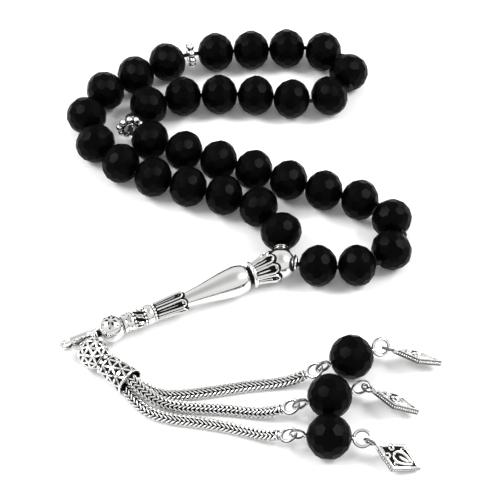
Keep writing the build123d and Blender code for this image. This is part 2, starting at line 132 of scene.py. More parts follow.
SILVER = grained("silver", (0.80, 0.795, 0.78), 1.0, 0.16,
                 scale=420.0, detail=4.0, low=0.10, high=0.22, bump=0.00002)
WIRE_SILVER = grained("wire_silver", (0.84, 0.835, 0.82), 1.0, 0.2,
                      scale=700.0, detail=3.0, low=0.14, high=0.26, bump=0.00001)
CHAIN_SILVER = grained("chain_silver", (0.88, 0.875, 0.86), 1.0, 0.24,
                       scale=900.0, detail=3.0, low=0.18, high=0.34, bump=0.00002)
# Dark material: blackened oxide in the hollows, and painted shade where it lines the filigree and fills the
# chain's core.
OXIDE_AND_SHADE = grained("oxide_and_painted_shade", (0.003, 0.003, 0.003), 0.0, 0.5, 0.06,
                    scale=900.0, detail=3.0, low=0.45, high=0.7, bump=0.00003)
# Tarnish material: a tarnished seam, and painted shade on wire flanks, the tail loop's inside and the
# charms' outer edge.
TARNISH_AND_SHADE = grained("tarnish_and_painted_shade", (0.13, 0.13, 0.128), 1.0, 0.36,
                    scale=900.0, detail=3.0, low=0.30, high=0.46, bump=0.00002)
ONYX = grained("onyx", (0.0005, 0.0005, 0.0006), 0.0, 0.34, 0.035,
               scale=160.0, detail=2.0, low=0.30, high=0.40, bump=0.000006)
THREAD = grained("thread", (0.012, 0.012, 0.012), 0.0, 0.8, 0.2,
                 scale=2500.0, detail=2.0, low=0.7, high=0.9, bump=0.00008)
SILVERWARE = [SILVER, OXIDE_AND_SHADE, TARNISH_AND_SHADE]
WIREWORK = [WIRE_SILVER, OXIDE_AND_SHADE, TARNISH_AND_SHADE]
CHAINWORK = [CHAIN_SILVER, OXIDE_AND_SHADE]


# --- shapes ---------------------------------------------------------------------------------------
SHARP_FROM = math.radians(45)


def grid_faces(rows, columns, wrap_rows=False):
    """Quads of a grid whose columns run round."""
    faces = []
    for i in range(rows if wrap_rows else rows - 1):
        below = i * columns
        above = (i + 1) % rows * columns
        for j in range(columns):
            k = (j + 1) % columns
            faces.append((below + j, below + k, above + k, above + j))
    return faces


def unit(v):
    return v / np.linalg.norm(v, axis=-1, keepdims=True)


class Shape:
    """Points and faces in millimetres. A face's mark is the place of its material in the list."""

    def __init__(self):
        self.points = []
        self.faces = []
        self.marks = []
        self.count = 0

    def add(self, points, faces, mark=POLISHED):
        self.points.append(np.asarray(points, float))
        self.faces += [tuple(i + self.count for i in face) for face in faces]
        self.marks += [mark] * len(faces)
        self.count += len(points)

    def lathe(self, profile, sides=64, mark=POLISHED):
        """A surface turned about Z from (radius, height) points; a radius of 0 closes it."""
        points = []
        faces = []
        rings = []
        for radius, height in profile:
            if radius < 1e-6:
                rings.append([len(points)])
                points.append((0, 0, height))
                continue
            rings.append(list(range(len(points), len(points) + sides)))
            for j in range(sides):
                turn = 2 * math.pi * j / sides
                points.append((radius * math.cos(turn), radius * math.sin(turn), height))
        for low, high in zip(rings, rings[1:]):
            for j in range(sides):
                k = (j + 1) % sides
                face = [low[j % len(low)], low[k % len(low)], high[k % len(high)], high[j % len(high)]]
                corners = list(dict.fromkeys(face))
                if len(corners) > 2:
                    faces.append(corners)
        self.add(points, faces, mark)

    def ball(self, centre, radius, mark=POLISHED, rings=10, sides=16, squeeze=1.0):
        """A ball, or an ellipsoid flattened along Z."""
        points = [(0, 0, -1)]
        for i in range(1, rings):
            polar = math.pi * i / rings
            for j in range(sides):
                turn = 2 * math.pi * j / sides
                points.append((math.sin(polar) * math.cos(turn), math.sin(polar) * math.sin(turn),
                               -math.cos(polar)))
        points.append((0, 0, 1))
        points = np.array(points) * radius * np.array([1, 1, squeeze]) + centre
        last = len(points) - 1
        faces = []
        for j in range(sides):
            k = (j + 1) % sides
            faces.append((0, 1 + k, 1 + j))
            faces.append((last, last - sides + j, last - sides + k))
        faces += [tuple(i + 1 for i in face) for face in grid_faces(rings - 1, sides)]
        self.add(points, faces, mark)

    def tube(self, path, width, height=None, up=None, mark=POLISHED, sides=10, closed=False, painted_shade_from=(1, 1)):
        """A round or flattened tube along a path; width and height are half sizes, one or many.

        The two sides that face across its path get painted shade, a dark outline along its flanks, where
        their facing passes the given shares.
        """
        path = np.asarray(path, float)
        count = len(path)
        height = width if height is None else height
        width = np.broadcast_to(np.asarray(width, float), count)[:, None, None]
        height = np.broadcast_to(np.asarray(height, float), count)[:, None, None]
        if closed:
            along = unit(np.roll(path, -1, 0) - np.roll(path, 1, 0))
        else:
            along = unit(np.gradient(path, axis=0))
        if up is None:
            normal = carried(along)
        else:
            up = np.broadcast_to(np.asarray(up, float), path.shape)
            normal = unit(up - along * np.sum(up * along, 1, keepdims=True))
        across = np.cross(along, normal)
        turn = np.linspace(0, 2 * math.pi, sides, endpoint=False)[None, :, None]
        rim = np.cos(turn) * width * across[:, None] + np.sin(turn) * height * normal[:, None]
        points = (path[:, None] + rim).reshape(-1, 3)
        faces = grid_faces(count, sides, closed)
        if not closed:
            faces.append(tuple(reversed(range(sides))))
            faces.append(tuple(range((count - 1) * sides, count * sides)))
        self.add(points, faces, mark)
        # Painted shade: flank faces take the tarnish material to darken the tube's outline.
        for i in range(len(faces)):
            facing = math.cos((i % sides + 0.5) * 2 * math.pi / sides)
            if facing > painted_shade_from[0] or facing < -painted_shade_from[1]:
                self.marks[i - len(faces)] = TARNISH_AND_SHADE_MARK

    def build(self, name, body, node, place=None, materials=None):
        """Makes the object in the part's frame, riding on its body in place of its CAD node."""
        points = np.concatenate(self.points)
        if place is not None:
            points = points @ np.array(place.to_3x3()).T + np.array(place.translation)
        mesh = bpy.data.meshes.new(name)
        mesh.from_pydata((points * MM).tolist(), [], self.faces)
        for material in materials or SILVERWARE:
            mesh.materials.append(material)
        mesh.polygons.foreach_set("material_index", self.marks)
        tidy = bmesh.new()
        tidy.from_mesh(mesh)
        bmesh.ops.recalc_face_normals(tidy, faces=tidy.faces)
        tidy.to_mesh(mesh)
        tidy.free()
        mesh.shade_smooth()
        mesh.set_sharp_from_angle(angle=SHARP_FROM)
        return stand_for(name, mesh, body, node)


def stand_for(name, mesh, body, node, place=None):
    """An object with that mesh, riding on a body in place of a CAD node."""
    piece = bpy.data.objects.new(name, mesh)
    bpy.context.scene.collection.objects.link(piece)
    if place is not None:
        piece.matrix_world = place
    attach(piece, body)
    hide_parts(node)
    return piece


def carried(along):
    """Normals carried along a path with no twist."""
    start = np.array([0, 0, 1.0]) if abs(along[0][2]) < 0.9 else np.array([1.0, 0, 0])
    normals = [unit(start - along[0] * np.dot(start, along[0]))]
    for direction in along[1:]:
        last = normals[-1]
        normals.append(unit(last - direction * np.dot(last, direction)))
    return np.array(normals)


def swell(count, power=8.0):
    """Sizes along a pill, from small ends to full middle; a low power makes a leaf."""
    t = np.linspace(-1, 1, count)
    return np.sqrt(np.maximum(1 - np.abs(t) ** power, 0.02))


def ring_points(centre, first, second, radius, count):
    """Points round a circle from its first direction towards its second."""
    turn = np.linspace(0, 2 * math.pi, count, endpoint=False)[:, None]
    return centre + radius * (np.cos(turn) * first + np.sin(turn) * second)


def level_ring(height, radius, count):
    """Points round a circle about Z."""
    return ring_points(UP * height, LOCAL_X, LOCAL_Y, radius, count)


def frame_along(origin, axis, up=UP):
    """The matrix whose local Z is the axis and local X is as near to up as it can be."""
    axis = unit(np.asarray(axis, float))
    across = unit(np.asarray(up, float) - axis * np.dot(up, axis))
    third = np.cross(axis, across)
    matrix = Matrix.Identity(4)
    for row in range(3):
        matrix[row][0] = across[row]
        matrix[row][1] = third[row]
        matrix[row][2] = axis[row]
        matrix[row][3] = origin[row]
    return matrix


def joint_point(name):
    return np.array(joints[name]["pos_m"]) / MM


def joint_axis(name):
    return np.array(joints[name]["axis"])


# --- chains ---------------------------------------------------------------------------------------
SHIFT = np.array([11.94, -9.4, 0.0])
CHAIN_PITCH = 1.08
CHAIN_CORE_RADIUS = 0.86
CHAIN_WIRE_RADIUS = 0.17
CHAIN_LINK_REACH = 1.45
LEG_END_HEADINGS = {1: 13.0, 2: 2.0, 3: -14.0}
LEG_END_SLOPE = math.radians(22.0)
LEG_END_RUN = 3.0
CHAIN_END = 5.3
CHAIN_ROUTES = {
    1: [(-35.5, -36.5, 2.1), (-31.3, -37.5, 1.4), (-25.8, -37.2, 1.4), (-18.0, -35.9, 1.4),
        (-10.4, -34.5, 1.4), (-5.2, -34.0, 1.4)],
    2: [(-36.9, -38.4, 4.8), (-33.4, -40.1, 3.1), (-29.5, -40.9, 1.9), (-24.0, -41.2, 1.4),
        (-17.0, -41.5, 1.4), (-11.7, -42.3, 1.4)],
    3: [(-38.6, -39.8, 2.3), (-35.7, -42.3, 1.5), (-30.8, -44.1, 1.4), (-24.5, -45.0, 1.4),
        (-17.5, -46.3, 1.4), (-12.0, -47.9, 1.4)],
}
CHAIN_ROLLS = {1: 40.0, 2: 0.0, 3: 42.0}


def leg_axis(leg):
    """The direction of a leg's cap, which slopes up to its pin."""
    turn = math.radians(LEG_END_HEADINGS[leg])
    level = np.array([math.cos(turn), math.sin(turn), 0.0])
    return math.cos(LEG_END_SLOPE) * level + math.sin(LEG_END_SLOPE) * UP


def smooth_line(points):
    """Points on a smooth open NURBS line with those control points."""
    data = bpy.data.curves.new("route", "CURVE")
    data.dimensions = "3D"
    spline = data.splines.new("NURBS")
    spline.points.add(len(points) - 1)
    for spot, point in zip(spline.points, points):
        spot.co = (*point, 1)
    spline.order_u = 3
    spline.use_endpoint_u = True
    spline.resolution_u = 24
    holder = bpy.data.objects.new("route", data)
    line = bpy.data.meshes.new_from_object(holder)
    found = np.array([v.co[:] for v in line.vertices])
    bpy.data.objects.remove(holder)
    bpy.data.curves.remove(data)
    bpy.data.meshes.remove(line)
    return found


def evenly(line, step):
    """Points at even distances along a line, and the line's length."""
    runs = np.linalg.norm(np.diff(line, axis=0), axis=1)
    keep = np.concatenate([[True], runs > 1e-6])
    line = line[keep]
    place = np.concatenate([[0], np.cumsum(np.linalg.norm(np.diff(line, axis=0), axis=1))])
    count = max(int(round(place[-1] / step)), 2)
    wanted = np.linspace(0, place[-1], count + 1)
    return np.stack([np.interp(wanted, place, line[:, k]) for k in range(3)], 1), place[-1]


def make_chain(leg):
    """A foxtail chain: on each of its four faces, a row of V-shaped wires over a dark core, painted shade
    for the gaps between the wires.
    """
    hook = joint_point(f"pin_{leg}_lift")
    end = hook - leg_axis(leg) * CHAIN_END
    rise = end - leg_axis(leg) * LEG_END_RUN
    laid = [np.array(point) + SHIFT for point in CHAIN_ROUTES[leg]]
    route = [joint_point(LEG_JOINTS[leg])] + laid + [rise, end]
    line = smooth_line(route)
    fine, length = evenly(line, CHAIN_PITCH / 8)
    along = unit(np.gradient(fine, axis=0))
    normals = carried(along)
    steps = int(length / CHAIN_PITCH)
    reach = len(fine) - 1

    def on_chain(distance, roll, out):
        """A point beside the middle line: at that distance, that many degrees round, that far out."""
        place = min(max(distance / length * reach, 0), reach)
        low = min(int(place), reach - 1)
        share = place - low
        spot = fine[low] * (1 - share) + fine[low + 1] * share
        normal = unit(normals[low] * (1 - share) + normals[low + 1] * share)
        across = np.cross(along[low], normal)
        turn = math.radians(roll)
        return spot + out * (math.cos(turn) * normal + math.sin(turn) * across)

    shape = Shape()
    # Painted shade: a dark core shows in the gaps between the wires.
    shape.tube(fine[::4], CHAIN_CORE_RADIUS, mark=DARK, sides=8)
    for i in range(steps + 1):
        start = (i + 0.5) * length / (steps + 1)
        for face in range(4):
            middle = CHAIN_ROLLS[leg] + 90 * face
            for side in (-1, 1):
                wire = []
                for t in np.linspace(0, 1, 5):
                    back_by = 0.72 - CHAIN_LINK_REACH * t
                    out = 1.02 + 0.18 * math.sin(math.pi * min(t * 1.1, 1)) + 0.14 * t
                    wire.append(on_chain(start + back_by, middle + side * 44 * t, out))
                shape.tube(wire, CHAIN_WIRE_RADIUS * swell(5, 6.0), sides=6)
    piece = shape.build(f"foxtail_chain_{leg}", f"leg_{leg}", f"chain_{leg}",
                        materials=CHAINWORK)


for leg in LEGS:
    make_chain(leg)


# --- beads ----------------------------------------------------------------------------------------
BEAD_SIZE = (5.06, 4.68)
TASSEL_BEAD_SIZE = (5.25, 5.25)
BEAD_BORE = 0.58
BEAD_CUTS = 6
TASSEL_BEAD_CUTS = 3
BEAD_SHARP_FROM = math.radians(14)


def bead_planes(rng, size):
    """The facets' normals and distances: staggered rows that touch an ellipsoid, cut by hand."""
    reach_across, half_length = size
    planes = [((0, 0, 1), half_length), ((0, 0, -1), half_length)]
    rows = [(90, 12, 0.0), (65, 12, 15.0), (41, 12, 0.0), (20, 6, 15.0)]
    for polar, count, start in rows:
        for side in (1, -1) if polar < 90 else (1,):
            for i in range(count):
                wobble = 0.0 if polar == 90 else 2.2
                tilt = math.radians(polar + rng.normal(0, wobble / 2))
                turn = math.radians(start + 360.0 * i / count + rng.normal(0, wobble))
                reach = math.hypot(reach_across * math.sin(tilt), half_length * math.cos(tilt))
                normal = (math.sin(tilt) * math.cos(turn), math.sin(tilt) * math.sin(turn),
                          side * math.cos(tilt))
                planes.append((normal, reach * (1 - 0.002 * abs(rng.normal(0, 1)))))
    return planes


def hull_of(points):
    """A closed hull of points, its faces flat polygons."""
    hull = bmesh.new()
    for point in points:
        hull.verts.new(point)
    made = bmesh.ops.convex_hull(hull, input=hull.verts)
    loose = [e for e in made["geom_interior"] if isinstance(e, bmesh.types.BMVert)]
    bmesh.ops.delete(hull, geom=loose, context="VERTS")
    return hull


def make_bead_mesh(number, size):
    """A faceted onyx bead with worn edges and a countersunk bore, its bore along Z."""
    planes = bead_planes(np.random.default_rng(100 + number), size)
    dual = hull_of([Vector(n) / d for n, d in planes])
    corners = []
    for face in dual.faces:
        normals = np.array([v.co[:] for v in face.verts])
        if abs(np.linalg.det(normals)) > 1e-9:
            corners.append(np.linalg.solve(normals, np.ones(3)))
    dual.free()
    solid = hull_of(corners)
    bmesh.ops.remove_doubles(solid, verts=solid.verts, dist=0.02)
    bmesh.ops.dissolve_limit(solid, angle_limit=math.radians(1.2), verts=solid.verts, edges=solid.edges)
    bmesh.ops.bevel(solid, geom=solid.edges[:], offset=0.11, segments=2, profile=0.7, affect="EDGES",
                    clamp_overlap=True)
    mesh = bpy.data.meshes.new(f"bead_cut_{number}")
    solid.to_mesh(mesh)
    solid.free()
    drill = Shape()
    low = size[1] - 0.3
    high = size[1] + 0.2
    drill.lathe([(0, -high), (BEAD_BORE + 0.5, -high), (BEAD_BORE, -low), (BEAD_BORE, low),
                 (BEAD_BORE + 0.5, high), (0, high)], sides=20)
    cutter_mesh = bpy.data.meshes.new("drill")
    cutter_mesh.from_pydata(drill.points[0].tolist(), [], drill.faces)
    cutter = bpy.data.objects.new("drill", cutter_mesh)
    blank = bpy.data.objects.new("blank", mesh)
    for item in (cutter, blank):
        bpy.context.scene.collection.objects.link(item)
    cut = blank.modifiers.new("bore", "BOOLEAN")
    cut.operation = "DIFFERENCE"
    cut.solver = "EXACT"
    cut.object = cutter
    bpy.context.view_layer.update()
    graph = bpy.context.evaluated_depsgraph_get()
    bored = bpy.data.meshes.new_from_object(blank.evaluated_get(graph))
    for item in (cutter, blank):
        bpy.data.objects.remove(item)
    bored.transform(Matrix.Scale(MM, 4))
    bored.materials.clear()
    bored.materials.append(ONYX)
    bored.shade_smooth()
    bored.set_sharp_from_angle(angle=BEAD_SHARP_FROM)
    return bored


bead_meshes = [make_bead_mesh(number, BEAD_SIZE) for number in range(BEAD_CUTS)]
tassel_meshes = [make_bead_mesh(BEAD_CUTS + number, TASSEL_BEAD_SIZE) for number in range(TASSEL_BEAD_CUTS)]
pick = np.random.default_rng(7)
for name in sorted(joints):
    if "bead" not in name or not name.endswith("_spin"):
        continue
    node = name[:-len("_spin")]
    place = frame_along(joint_point(name) * MM, joint_axis(name))
    place = place @ Matrix.Rotation(math.radians(30 * int(pick.integers(12))), 4, "Z")
    if pick.random() < 0.5:
        place = place @ Matrix.Rotation(math.pi, 4, "X")
    meshes = tassel_meshes if node.startswith("tassel") else bead_meshes
    stand_for(f"{node}_cut", meshes[int(pick.integers(len(meshes)))], node, node, place)


# --- daisy spacers --------------------------------------------------------------------------------
MARKER_BALLS = 9
MARKER_BALLS_AT = 2.74
MARKER_BALL_RADIUS = 0.94


def make_marker(number):
    """A ring of balls soldered round a plain hub, with blackened joints."""
    name = f"marker_{number}"
    shape = Shape()
    shape.tube(level_ring(0, 1.22, 40), 0.52, 0.66, up=UP, sides=14, closed=True)
    hub = [(1.3, -0.5), (2.2, -0.62), (3.1, -0.3), (3.1, 0.3), (2.2, 0.62), (1.3, 0.5)]
    shape.lathe(hub, sides=36, mark=DARK)
    for side in (-1, 1):
        shape.tube(level_ring(side * 0.62, 1.62, 40), 0.17, sides=8, closed=True, up=UP)
    for spot in level_ring(0, MARKER_BALLS_AT, MARKER_BALLS):
        shape.ball(spot, MARKER_BALL_RADIUS, rings=14, sides=20)
    place = frame_along(joint_point(f"{name}_spin"), joint_axis(f"{name}_spin"))
    shape.build(f"daisy_spacer_{number}", name, name, place)


for number in (1, 2):
    make_marker(number)


# --- imame ----------------------------------------------------------------------------------------
HEAD_RADIUS = 4.0
TAIL_BALL_AT = 45.9
TAIL_BALL_RADIUS = 3.38
TAIL_LOOP_TIP = 57.6
LOTUS_PETALS = 8
CALYX_PETALS = 6
CALYX_PELLETS = 18
BAND_PELLETS = 14
BAND_SCROLLS = 7
CUFF_DOTS = 10
ball_centre = joint_point("tail_loop_swivel")
loop_tip = joint_point("tassel_swing")
imame_axis = unit(loop_tip - ball_centre)
head_centre = ball_centre - imame_axis * TAIL_BALL_AT
IMAME = frame_along(head_centre, imame_axis)


def around(radius, turn, height):
    """A point on a turned surface, its angle in degrees from local X."""
    turn = math.radians(turn)
    return np.array([radius * math.cos(turn), radius * math.sin(turn), height])


def outward(turn):
    """The direction straight out of a turned surface, at that angle."""
    return around(1, turn, 0)


def arch(shape, radius_at, middle, half_turn, foot, tip, width, height, mark=POLISHED):
    """A raised arch on a turned surface, from a foot up one side, round the tip and down again."""
    path = []
    ups = []
    crown = half_turn * math.radians(1) * radius_at(tip)
    crown = math.copysign(min(crown * 1.15, abs(tip - foot) * 0.45), tip - foot)
    for t in np.linspace(-1, 1, 29):
        if abs(t) > 0.5:
            share = (abs(t) - 0.5) * 2
            place = tip - crown - (tip - crown - foot) * share
            turn = half_turn * (1 - 0.12 * share)
        else:
            bend = abs(t) * math.pi
            place = tip - crown + crown * math.cos(bend)
            turn = half_turn * math.sin(bend)
        angle = middle + math.copysign(turn, t)
        path.append(around(radius_at(place), angle, place))
        ups.append(outward(angle))
    shape.tube(path, width, height, up=ups, mark=mark, sides=8)


def pill(shape, radius_at, middle, start, end, width, height):
    """A straight raised stroke along a turned surface."""
    places = np.linspace(start, end, 9)
    path = [around(radius_at(place), middle, place) for place in places]
    shape.tube(path, width * swell(9), height, up=outward(middle), sides=8)


def make_imame_head():
    """The polished ball, with a collar round each of its two cord ports."""
    shape = Shape()
    shape.ball(np.zeros(3), HEAD_RADIUS, rings=40, sides=64)
    inverse = IMAME.inverted()
    for bead in ("bead_01_spin", "bead_33_spin"):
        toward = joint_point(bead) - head_centre
        toward[2] = 0
        local = np.array(inverse.to_3x3() @ Vector(unit(toward)))
        rise = np.array(inverse.to_3x3() @ Vector((0, 0, 0.96)))
        side = unit(np.cross(local, unit(rise)))
        port = local * 3.83 + rise
        shape.tube(ring_points(port, unit(rise), side, 1.5, 40), 0.42, sides=12, closed=True, up=local)
        shape.tube([port - local * 0.3, port + local * 0.12], 1.15, mark=DARK, sides=24)
        shape.tube(ring_points(port - local * 0.38, unit(rise), side, 2.0, 40), 0.13, mark=DARK, sides=8,
                   closed=True, up=local)
    shape.build("polished_head", "imame", "imame_head", IMAME)


def make_imame_lotus():
    """Eight arched petals round the head, over a dark cup, and the round collar behind them."""
    def cup(place):
        return float(np.interp(place, [1.8, 3.2, 5.2, 7.4], [3.92, 3.62, 3.05, 2.6]))

    shape = Shape()
    places = np.linspace(2.9, 7.4, 12)
    shape.lathe([(cup(z) - 0.28, z) for z in places], mark=DARK)
    for i in range(LOTUS_PETALS):
        middle = 360.0 / LOTUS_PETALS * i
        between = middle + 180.0 / LOTUS_PETALS
        arch(shape, lambda z: cup(z) - 0.14, middle, half_turn=18.6, foot=7.5, tip=1.75,
             width=0.50, height=0.2, mark=DARK)
        arch(shape, lambda z: cup(z) + 0.05, middle, half_turn=17.2, foot=7.5, tip=2.1,
             width=0.27, height=0.27)
        pill(shape, cup, middle, start=3.9, end=7.2, width=0.22, height=0.24)
        pill(shape, lambda z: cup(z) - 0.12, between, start=4.4, end=7.2, width=0.14, height=0.2)
    collar = []
    for t in np.linspace(-100, 100, 17):
        turn = math.radians(t)
        collar.append((2.72 + 0.72 * math.cos(turn), 7.98 + 0.62 * math.sin(turn)))
    shape.lathe([(2.3, collar[0][1])] + collar + [(2.3, collar[-1][1])])
    shape.build("lotus_cup", "imame", "imame_lotus", IMAME)


def make_imame_baluster():
    """The polished body: a rounded shoulder that tapers to a slim neck."""
    knots = [(2.6, 9.35), (3.02, 9.5), (3.36, 10.0), (3.68, 10.9), (3.83, 11.9), (3.84, 12.8), (3.7, 14.4),
             (3.42, 16.4), (3.08, 18.4), (2.72, 20.4), (2.38, 22.4), (2.1, 24.4), (1.88, 26.2), (1.75, 27.8)]
    places = [z for r, z in knots]
    heights = np.concatenate([np.linspace(9.35, 10.0, 8), np.linspace(10.1, 27.8, 70)])
    radii = np.interp(heights, places, [r for r, z in knots])
    for _ in range(6):
        radii[1:-1] = (radii[:-2] + 2 * radii[1:-1] + radii[2:]) / 4
    shape = Shape()
    shape.lathe([(2.2, 9.3)] + list(zip(radii, heights)) + [(1.1, 27.9)], sides=96)
    shape.lathe([(2.3, 8.3), (2.25, 9.4)], mark=DARK)
    shape.lathe([(1.3, 26.5), (1.3, 32)], mark=DARK, sides=24)
    shape.tube(level_ring(9.42, 2.72, 64), 0.2, mark=DARK, closed=True, up=UP, sides=8)
    shape.build("polished_body", "imame", "imame_baluster", IMAME)


def make_imame_calyx():
    """Six long petals, a row of pellets, a plain band, a scrolled band and an engraved cuff."""
    def cup(place):
        return float(np.interp(place, [26.6, 28.0, 31.0, 34.0], [2.46, 2.36, 2.14, 1.98]))

    shape = Shape()
    shape.lathe([(1.75, 27.4), (cup(28.2) - 0.25, 28.2), (cup(34) - 0.22, 34.0), (1.95, 35.2)], mark=DARK)
    for i in range(CALYX_PETALS):
        middle = 360.0 / CALYX_PETALS * i + 12
        between = middle + 180.0 / CALYX_PETALS
        arch(shape, lambda z: cup(z) - 0.12, middle, half_turn=24.5, foot=34.1, tip=26.45,
             width=0.40, height=0.18, mark=DARK)
        arch(shape, lambda z: cup(z) + 0.05, middle, half_turn=21.5, foot=34.1, tip=26.75,
             width=0.24, height=0.25)
        pill(shape, lambda z: cup(z) - 0.06, middle, start=28.6, end=33.9, width=0.12, height=0.17)
        pill(shape, lambda z: cup(z) - 0.14, between, start=29.5, end=33.9, width=0.11, height=0.17)
    for i in range(CALYX_PELLETS):
        shape.ball(around(2.16, 360.0 / CALYX_PELLETS * i, 34.72), 0.36, rings=8, sides=10)
    shape.lathe([(1.95, 35.1), (2.42, 35.2), (2.56, 35.42), (2.58, 36.1), (2.56, 36.7), (2.42, 36.92),
                 (1.95, 36.95)])
    shape.lathe([(2.02, 36.8), (2.05, 40.6)], mark=DARK)
    for i in range(BAND_PELLETS):
        for height in (37.32, 40.02):
            shape.ball(around(2.14, 360.0 / BAND_PELLETS * i, height), 0.38, rings=8, sides=10)
    for i in range(BAND_SCROLLS):
        middle = 360.0 / BAND_SCROLLS * i
        for lag, slimmer in ((0.0, 1.0), (15.0, 0.85)):
            stroke = []
            ups = []
            for t in np.linspace(0, 1, 9):
                angle = middle + lag + 36 * t + 5 * math.sin(2 * math.pi * t)
                stroke.append(around(2.16, angle, 37.75 + 1.85 * t))
                ups.append(outward(angle))
            shape.tube(stroke, 0.21 * slimmer * swell(9), 0.24, up=ups, sides=8)
    shape.lathe([(1.9, 40.45), (2.4, 40.5), (2.5, 40.66), (2.46, 41.0), (2.34, 41.7), (2.36, 42.3),
                 (2.48, 42.8), (2.42, 43.02), (1.7, 43.1)])
    for i in range(CUFF_DOTS):
        for place, size, lag in ((41.25, 0.2, 0), (42.1, 0.15, 18)):
            turn = 360.0 / CUFF_DOTS * i + lag
            shape.ball(around(2.36, turn, place), size, mark=DARK, rings=6, sides=8)
    shape.build("banded_calyx", "imame", "imame_calyx", IMAME)


def spherical(centre, radius, polar, turn):
    """A point on a sphere: degrees from local X, then degrees round it."""
    polar = math.radians(polar)
    turn = math.radians(turn)
    return centre + radius * np.array([math.cos(polar), math.sin(polar) * math.cos(turn),
                                       math.sin(polar) * math.sin(turn)])


def make_imame_tail_ball():
    """The tail ball, with a seam and a star of small cuts on its top and its underside."""
    centre = np.array([0, 0, TAIL_BALL_AT])
    shape = Shape()
    shape.ball(centre, TAIL_BALL_RADIUS, rings=36, sides=56)
    cuts_at = TAIL_BALL_RADIUS - 0.03
    seam_side = unit(np.array([1.0, -1.0, 0]))
    seam = ring_points(centre, seam_side, UP, TAIL_BALL_RADIUS - 0.02, 64)
    shape.tube(seam, 0.06, sides=6, closed=True, up=np.array([1.0, 1.0, 0]), mark=TARNISH_AND_SHADE_MARK)
    for top in (0, 180):
        for i in range(6):
            for near, far, lean, width in ((9, 27, 0, 0.30), (31, 41, 30, 0.24)):
                path = []
                for t in np.linspace(near, far, 7):
                    path.append(spherical(centre, cuts_at, abs(top - t), 60 * i + lean))
                shape.tube(path, width * swell(7, 2.0), 0.07, up=path[3] - centre, mark=DARK, sides=8)
    for i in range(4):
        path = [spherical(centre, cuts_at, 62 + 2.6 * t, 45 + 90 * i) for t in range(7)]
        shape.tube(path, 0.22 * swell(7, 2.0), 0.06, up=path[3] - centre, mark=DARK, sides=8)
    shape.tube(level_ring(TAIL_BALL_AT - 2.85, 1.8, 48), 0.2, mark=DARK, closed=True, up=UP, sides=8)
    shape.build("tail_ball_shell", "imame", "imame_tail_ball", IMAME)


def make_tail_loop():
    """A thick oblong loop that springs from a coiled collar on the swivel's stem."""
    shape = Shape()
    collar = TAIL_BALL_AT + TAIL_BALL_RADIUS
    shape.lathe([(0.9, collar - 0.6), (0.9, collar + 1.5)], mark=DARK, sides=24)
    coil = []
    for t in np.linspace(0, 3 * 2 * math.pi, 97):
        coil.append((1.5 * math.cos(t), 1.5 * math.sin(t), collar + 0.34 + t / (2 * math.pi) * 0.58))
    shape.tube(coil, 0.2 * swell(97, 40.0), sides=10)
    near = TAIL_LOOP_TIP - 6.6
    shape.ball(np.array([0, 0, near + 0.3]), 1.3, rings=14, sides=24, squeeze=0.8)
    shape.tube([(0, 0, near + 0.2), (0, 0, near + 1.6), (0, 0, near + 2.9)], 1.1, 0.5,
               up=LOCAL_Y, sides=16)
    bend = 1.5
    far = TAIL_LOOP_TIP - bend
    path = []
    for middle, start, arm_end in ((far, -90, near + bend), (near + bend, 90, far)):
        for turn in np.radians(np.linspace(start, start + 180, 19)):
            path.append((bend * math.sin(turn), 0, middle + bend * math.cos(turn)))
        side = path[-1][0]
        path += [(side, 0, middle + (arm_end - middle) * share) for share in (0.2, 0.4, 0.6, 0.8)]
    # Painted shade: the loop's inner side is dark, standing in for the shade in its slot.
    shape.tube(path, 0.85, up=LOCAL_Y, sides=18, closed=True, painted_shade_from=(1, 0.3))
    shape.build("oblong_loop", "tail_loop", "tail_loop", IMAME)


make_imame_head()
make_imame_lotus()
make_imame_baluster()
make_imame_calyx()
make_imame_tail_ball()
make_tail_loop()


# --- tassel head ----------------------------------------------------------------------------------
SLEEVE_TOP = 4.9
SLEEVE_MOUTH = 12.6
SLEEVE_ROWS = 4
SLEEVE_COLUMNS = 8
COLLAR_BALLS = 10
FILIGREE_RADIUS = 3.72
FILIGREE_CORE_RADIUS = 3.32
FILIGREE_HEIGHT = 0.17
seats = [joint_point(LEG_JOINTS[leg]) for leg in LEGS]
mouth_centre = sum(seats) / len(seats)
tassel_axis = unit(np.cross(seats[1] - seats[0], seats[2] - seats[0]))
if np.dot(tassel_axis, mouth_centre - loop_tip) < 0:
    tassel_axis = -tassel_axis
filigree_centre = mouth_centre - tassel_axis * SLEEVE_MOUTH
TASSEL = frame_along(filigree_centre, tassel_axis)


def leaf(shape, start, end, centre_line, width, height):
    """A lens-shaped filigree stroke between two points of a curved surface."""
    path = []
    ups = []
    for t in np.linspace(0.02, 0.98, 7):
        spot, up = centre_line(start * (1 - t) + end * t)
        path.append(spot)
        ups.append(up)
    shape.tube(path, width * swell(7, 2.2), height, up=ups, sides=6)


def make_filigree_ball():
    """A ball of lens-shaped strokes round small openings, over a dark inner ball: painted shade for the
    inside seen through them, which is also oxidised.
    """
    mesh = bmesh.new()
    bmesh.ops.create_icosphere(mesh, subdivisions=2, radius=1.0)
    edges = [(np.array(e.verts[0].co), np.array(e.verts[1].co)) for e in mesh.edges]
    knots = [np.array(v.co) for v in mesh.verts]
    mesh.free()
    shape = Shape()
    # Painted shade: a dark inner ball seen through the openings, for the shaded, oxidised inside.
    shape.ball(np.zeros(3), FILIGREE_CORE_RADIUS, mark=DARK, rings=20, sides=28)

    def on_ball(point):
        return unit(point) * FILIGREE_RADIUS, unit(point)

    for start, end in edges:
        leaf(shape, start, end, on_ball, 0.31, FILIGREE_HEIGHT)
    for knot in knots:
        shape.ball(knot * (FILIGREE_RADIUS - 0.04), 0.26, rings=8, sides=10)
    shape.build("filigree_globe", "tassel_head", "filigree_ball", TASSEL)


